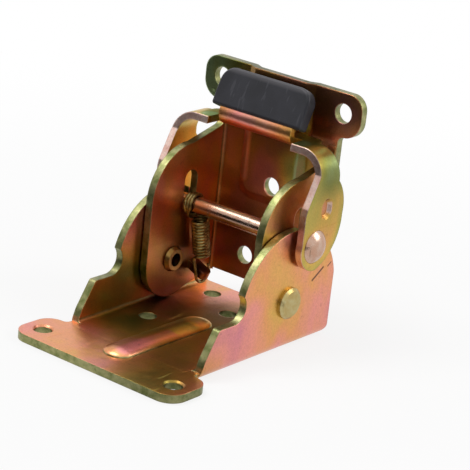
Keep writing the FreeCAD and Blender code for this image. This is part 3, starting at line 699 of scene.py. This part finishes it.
dress(nodes["base_bracket"], zinc_base)
dress(nodes["leg_bracket"], zinc_leg)
dress(nodes["release_yoke"], zinc_yoke)
dress(nodes["pivot_rivet_left"], rivet_steel_shaded_left)
dress(nodes["pivot_rivet_right"], rivet_steel)
dress(nodes["lock_pin"], pin_steel)
dress(nodes["grip_sleeve"], grip_rubber)


# Forms that the solid sheets lack: the open upper hole, the flat joint of the floor and the rib's crown

def open_top_hole(node, material):
    """Bores the upper hole of the leg plate right through the pressed pad."""
    group = bpy.data.node_groups.new("open_top_hole", "GeometryNodeTree")
    for side in ("INPUT", "OUTPUT"):
        group.interface.new_socket("Geometry", in_out=side, socket_type="NodeSocketGeometry")
    given = group.nodes.new("NodeGroupInput")
    result = group.nodes.new("NodeGroupOutput")
    drill = group.nodes.new("GeometryNodeMeshCylinder")
    drill.inputs["Vertices"].default_value = TOP_HOLE_SIDES
    drill.inputs["Radius"].default_value = TOP_HOLE_RADIUS * MM
    drill.inputs["Depth"].default_value = TOP_HOLE_CUT * MM
    placed = group.nodes.new("GeometryNodeTransform")
    placed.inputs["Translation"].default_value = [c * MM for c in TOP_HOLE_AT]
    placed.inputs["Rotation"].default_value = (math.radians(90), 0.0, 0.0)
    joined = group.nodes.new("GeometryNodeMergeByDistance")
    joined.inputs["Distance"].default_value = MERGE_GAP * MM
    bored = group.nodes.new("GeometryNodeMeshBoolean")
    bored.operation = "DIFFERENCE"
    bored.solver = "EXACT"
    angle = group.nodes.new("GeometryNodeInputMeshEdgeAngle")
    gentle = group.nodes.new("FunctionNodeCompare")
    gentle.operation = "LESS_THAN"
    gentle.inputs["B"].default_value = math.radians(SHARP_EDGE)
    shaded = group.nodes.new("GeometryNodeSetShadeSmooth")
    shaded.domain = "EDGE"
    plated = group.nodes.new("GeometryNodeSetMaterial")
    plated.inputs["Material"].default_value = material
    group.links.new(drill.outputs["Mesh"], placed.inputs["Geometry"])
    group.links.new(given.outputs[0], joined.inputs["Geometry"])
    group.links.new(joined.outputs["Geometry"], bored.inputs["Mesh 1"])
    group.links.new(placed.outputs["Geometry"], bored.inputs["Mesh 2"])
    group.links.new(bored.outputs["Mesh"], shaded.inputs["Geometry"])
    group.links.new(angle.outputs["Unsigned Angle"], gentle.inputs["A"])
    group.links.new(gentle.outputs["Result"], shaded.inputs["Shade Smooth"])
    group.links.new(shaded.outputs["Geometry"], plated.inputs["Geometry"])
    group.links.new(plated.outputs["Geometry"], result.inputs[0])
    modifier = node.modifiers.new("open_top_hole", "NODES")
    modifier.node_group = group


def band_faces(low, high, count):
    """Faces between two closed rings of points, given by the index of each ring's first point."""
    faces = []
    for side in range(count):
        after = (side + 1) % count
        faces.append((low + side, low + after, high + after, high + side))
    return faces


def joint_ring(height, slope=0.0, end_slope=0.0):
    """Corners of the joint's slab at one height, moved out to front and rear and at both ends."""
    half = JOINT_HALF + end_slope
    front = JOINT_FRONT - slope
    rear = JOINT_REAR + slope
    flat = ((-half, front), (half, front), (half, rear), (-half, rear))
    return [(x * MM, y * MM, height * MM) for x, y in flat]


def floor_joint():
    """Slab with a flat top over the joint between the wing plate and the floor, its sides in the sheet."""
    points = joint_ring(JOINT_FOOT, JOINT_SLOPE, JOINT_END_SLOPE) + joint_ring(JOINT_TOP)
    faces = [(3, 2, 1, 0), (4, 5, 6, 7)] + band_faces(0, 4, 4)
    piece = add_mesh("floor_joint", points, faces)
    piece.data.materials.append(zinc_base)
    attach(piece, "base")


def rib_ring(reach, height):
    """Outline around the middle line of the rib at one distance from it."""
    ring = []
    for middle, start in ((RIB_END, 0.0), (RIB_START, math.pi)):
        for step in range(RIB_TURN + 1):
            turn = start + math.pi * step / RIB_TURN
            ring.append((reach * math.cos(turn) * MM, (middle + reach * math.sin(turn)) * MM, height * MM))
    return ring


def rib_crown():
    """Rounded crown over the rib pressed in the floor, closed underneath."""
    points = rib_ring(RIB_HALF, RIB_ROOT)
    for ring in range(RIB_RINGS):
        turn = math.pi / 2 * ring / RIB_RINGS
        points += rib_ring(RIB_HALF * math.cos(turn), RIB_FOOT + RIB_CROWN * math.sin(turn))
    ridge = len(points)
    for end in (RIB_END, RIB_START):
        points.append((0.0, end * MM, (RIB_FOOT + RIB_CROWN) * MM))
    half = RIB_TURN + 1
    count = 2 * half
    faces = [tuple(reversed(range(count)))]
    for ring in range(RIB_RINGS):
        faces += band_faces(ring * count, (ring + 1) * count, count)
    last = RIB_RINGS * count
    for side in range(RIB_TURN):
        faces.append((last + side, last + side + 1, ridge))
        faces.append((last + half + side, last + half + side + 1, ridge + 1))
    faces.append((last + half - 1, last + half, ridge + 1, ridge))
    faces.append((last + count - 1, last, ridge, ridge + 1))
    piece = add_mesh("rib_crown", points, faces)
    dress(piece, zinc_base)
    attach(piece, "base")


open_top_hole(nodes["leg_bracket"], zinc_leg)
floor_joint()
rib_crown()


# Return spring, which stretches between the leg and the yoke

def spring_piece():
    """The solid spring's own mesh as a piece of its own in spring steel, with the solid spring hidden."""
    piece = add_object("return_spring_wire", nodes["return_spring"].data.copy())
    dress(piece, spring_steel)
    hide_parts("return_spring")
    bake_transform(piece)


spring_piece()


# Studio: pale floor, even white surroundings, dark cards and soft lamps

def white_seen(net, share):
    """1 for rays that see the surroundings directly or in a reflection, scaled by share."""
    path = net.new("ShaderNodeLightPath")
    seen = net.add(*[path.outputs[name] for name in SEEING_RAYS])
    return net.times(net.math("MINIMUM", seen, 1.0), share)


def floor_material():
    net = Net("studio_floor")
    away = net.distance((0.0, 0.0, 0.0))
    share = net.add(FLOOR_WHITE, net.times(net.smooth(away, *FLOOR_FADE_MM), FLOOR_WHITE_FAR))
    glow = net.new("ShaderNodeEmission")
    net.feed(glow.inputs["Color"], WHITE)
    glow.inputs["Strength"].default_value = 1.0
    blend = net.new("ShaderNodeMixShader")
    net.feed(blend.inputs[0], white_seen(net, share))
    net.feed(blend.inputs[1], net.matt(net.mix(net.noise(FLOOR_GRAIN), *FLOOR_TONES)))
    net.feed(blend.inputs[2], glow.outputs[0])
    return net.show(blend.outputs[0])


def floor():
    """Pale floor that holds the object's shadow."""
    half = FLOOR_SIDE / 2
    flat = ((-half, -half), (half, -half), (half, half), (-half, half))
    plane = add_mesh("studio_floor", [(x, y, FLOOR_Z) for x, y in flat], [(0, 1, 2, 3)])
    plane.data.materials.append(floor_material())


def world():
    """Even surroundings: white where a ray sees them, dimmer where they only light the part."""
    surroundings = bpy.data.worlds.new("studio")
    bpy.context.scene.world = surroundings
    surroundings.use_nodes = True
    tree = surroundings.node_tree
    tree.nodes.clear()
    path = tree.nodes.new("ShaderNodeLightPath")
    seen = path.outputs[SEEING_RAYS[0]]
    for name in SEEING_RAYS[1:]:
        either = tree.nodes.new("ShaderNodeMath")
        either.operation = "MAXIMUM"
        tree.links.new(seen, either.inputs[0])
        tree.links.new(path.outputs[name], either.inputs[1])
        seen = either.outputs[0]
    strength = tree.nodes.new("ShaderNodeMapRange")
    strength.inputs["To Min"].default_value = AMBIENT
    strength.inputs["To Max"].default_value = 1.0
    back = tree.nodes.new("ShaderNodeBackground")
    back.inputs["Color"].default_value = (*WHITE, 1.0)
    output = tree.nodes.new("ShaderNodeOutputWorld")
    tree.links.new(seen, strength.inputs["Value"])
    tree.links.new(strength.outputs[0], back.inputs["Strength"])
    tree.links.new(back.outputs[0], output.inputs[0])


def dark_card(name, corners):
    """Black studio card that shows only as a dark reflection in the metal."""
    card = add_mesh(name, corners, [(0, 1, 2, 3)])
    net = Net(name)
    card.data.materials.append(net.show(net.matt(CARD_TONE)))
    card.visible_camera = False
    card.visible_diffuse = False
    card.visible_shadow = False


def soft_lamp(name, place, size, power):
    data = bpy.data.lights.new(name, "AREA")
    data.shape = "SQUARE"
    data.size = size
    data.energy = power
    lamp = add_object(name, data)
    lamp.location = place
    lamp.rotation_euler = (Vector(LAMP_AIM) - Vector(place)).to_track_quat("-Z", "Y").to_euler()


def camera():
    """Camera fitted to the photo, turned about its own axis by the photo's roll."""
    azimuth, elevation, roll = (math.radians(value) for value in (AZIMUTH, ELEVATION, ROLL))
    level = math.cos(elevation)
    back = Vector((math.sin(azimuth) * level, -math.cos(azimuth) * level, math.sin(elevation)))
    right = Vector((math.cos(azimuth), math.sin(azimuth), 0.0))
    up = back.cross(right)
    turned_right = right * math.cos(roll) + up * math.sin(roll)
    turned_up = up * math.cos(roll) - right * math.sin(roll)
    data = bpy.data.cameras.new("photo_camera")
    data.sensor_width = SENSOR_MM
    data.lens = FOCAL_PIXELS / PHOTO_SIDE * SENSOR_MM
    data.clip_start = CLIP_NEAR
    data.clip_end = CLIP_FAR
    eye = add_object("photo_camera", data)
    turn = Matrix((turned_right, turned_up, back)).transposed()
    eye.matrix_world = Matrix.Translation(CAMERA_AT) @ turn.to_4x4()
    bpy.context.scene.camera = eye


floor()
world()
dark_card("card_front", [
    (CARD_LEFT, CARD_FAR, 0.0), (CARD_RIGHT, CARD_FAR, 0.0),
    (CARD_RIGHT, CARD_FAR, CARD_TOP), (CARD_LEFT, CARD_FAR, CARD_TOP)])
dark_card("card_floor", [
    (CARD_LEFT, CARD_FAR, CARD_LIFT), (CARD_RIGHT, CARD_FAR, CARD_LIFT),
    (CARD_RIGHT, CARD_NEAR, CARD_LIFT), (CARD_LEFT, CARD_NEAR, CARD_LIFT)])
for lamp in LAMPS:
    soft_lamp(*lamp)
camera()
bpy.context.scene.view_settings.view_transform = "Standard"
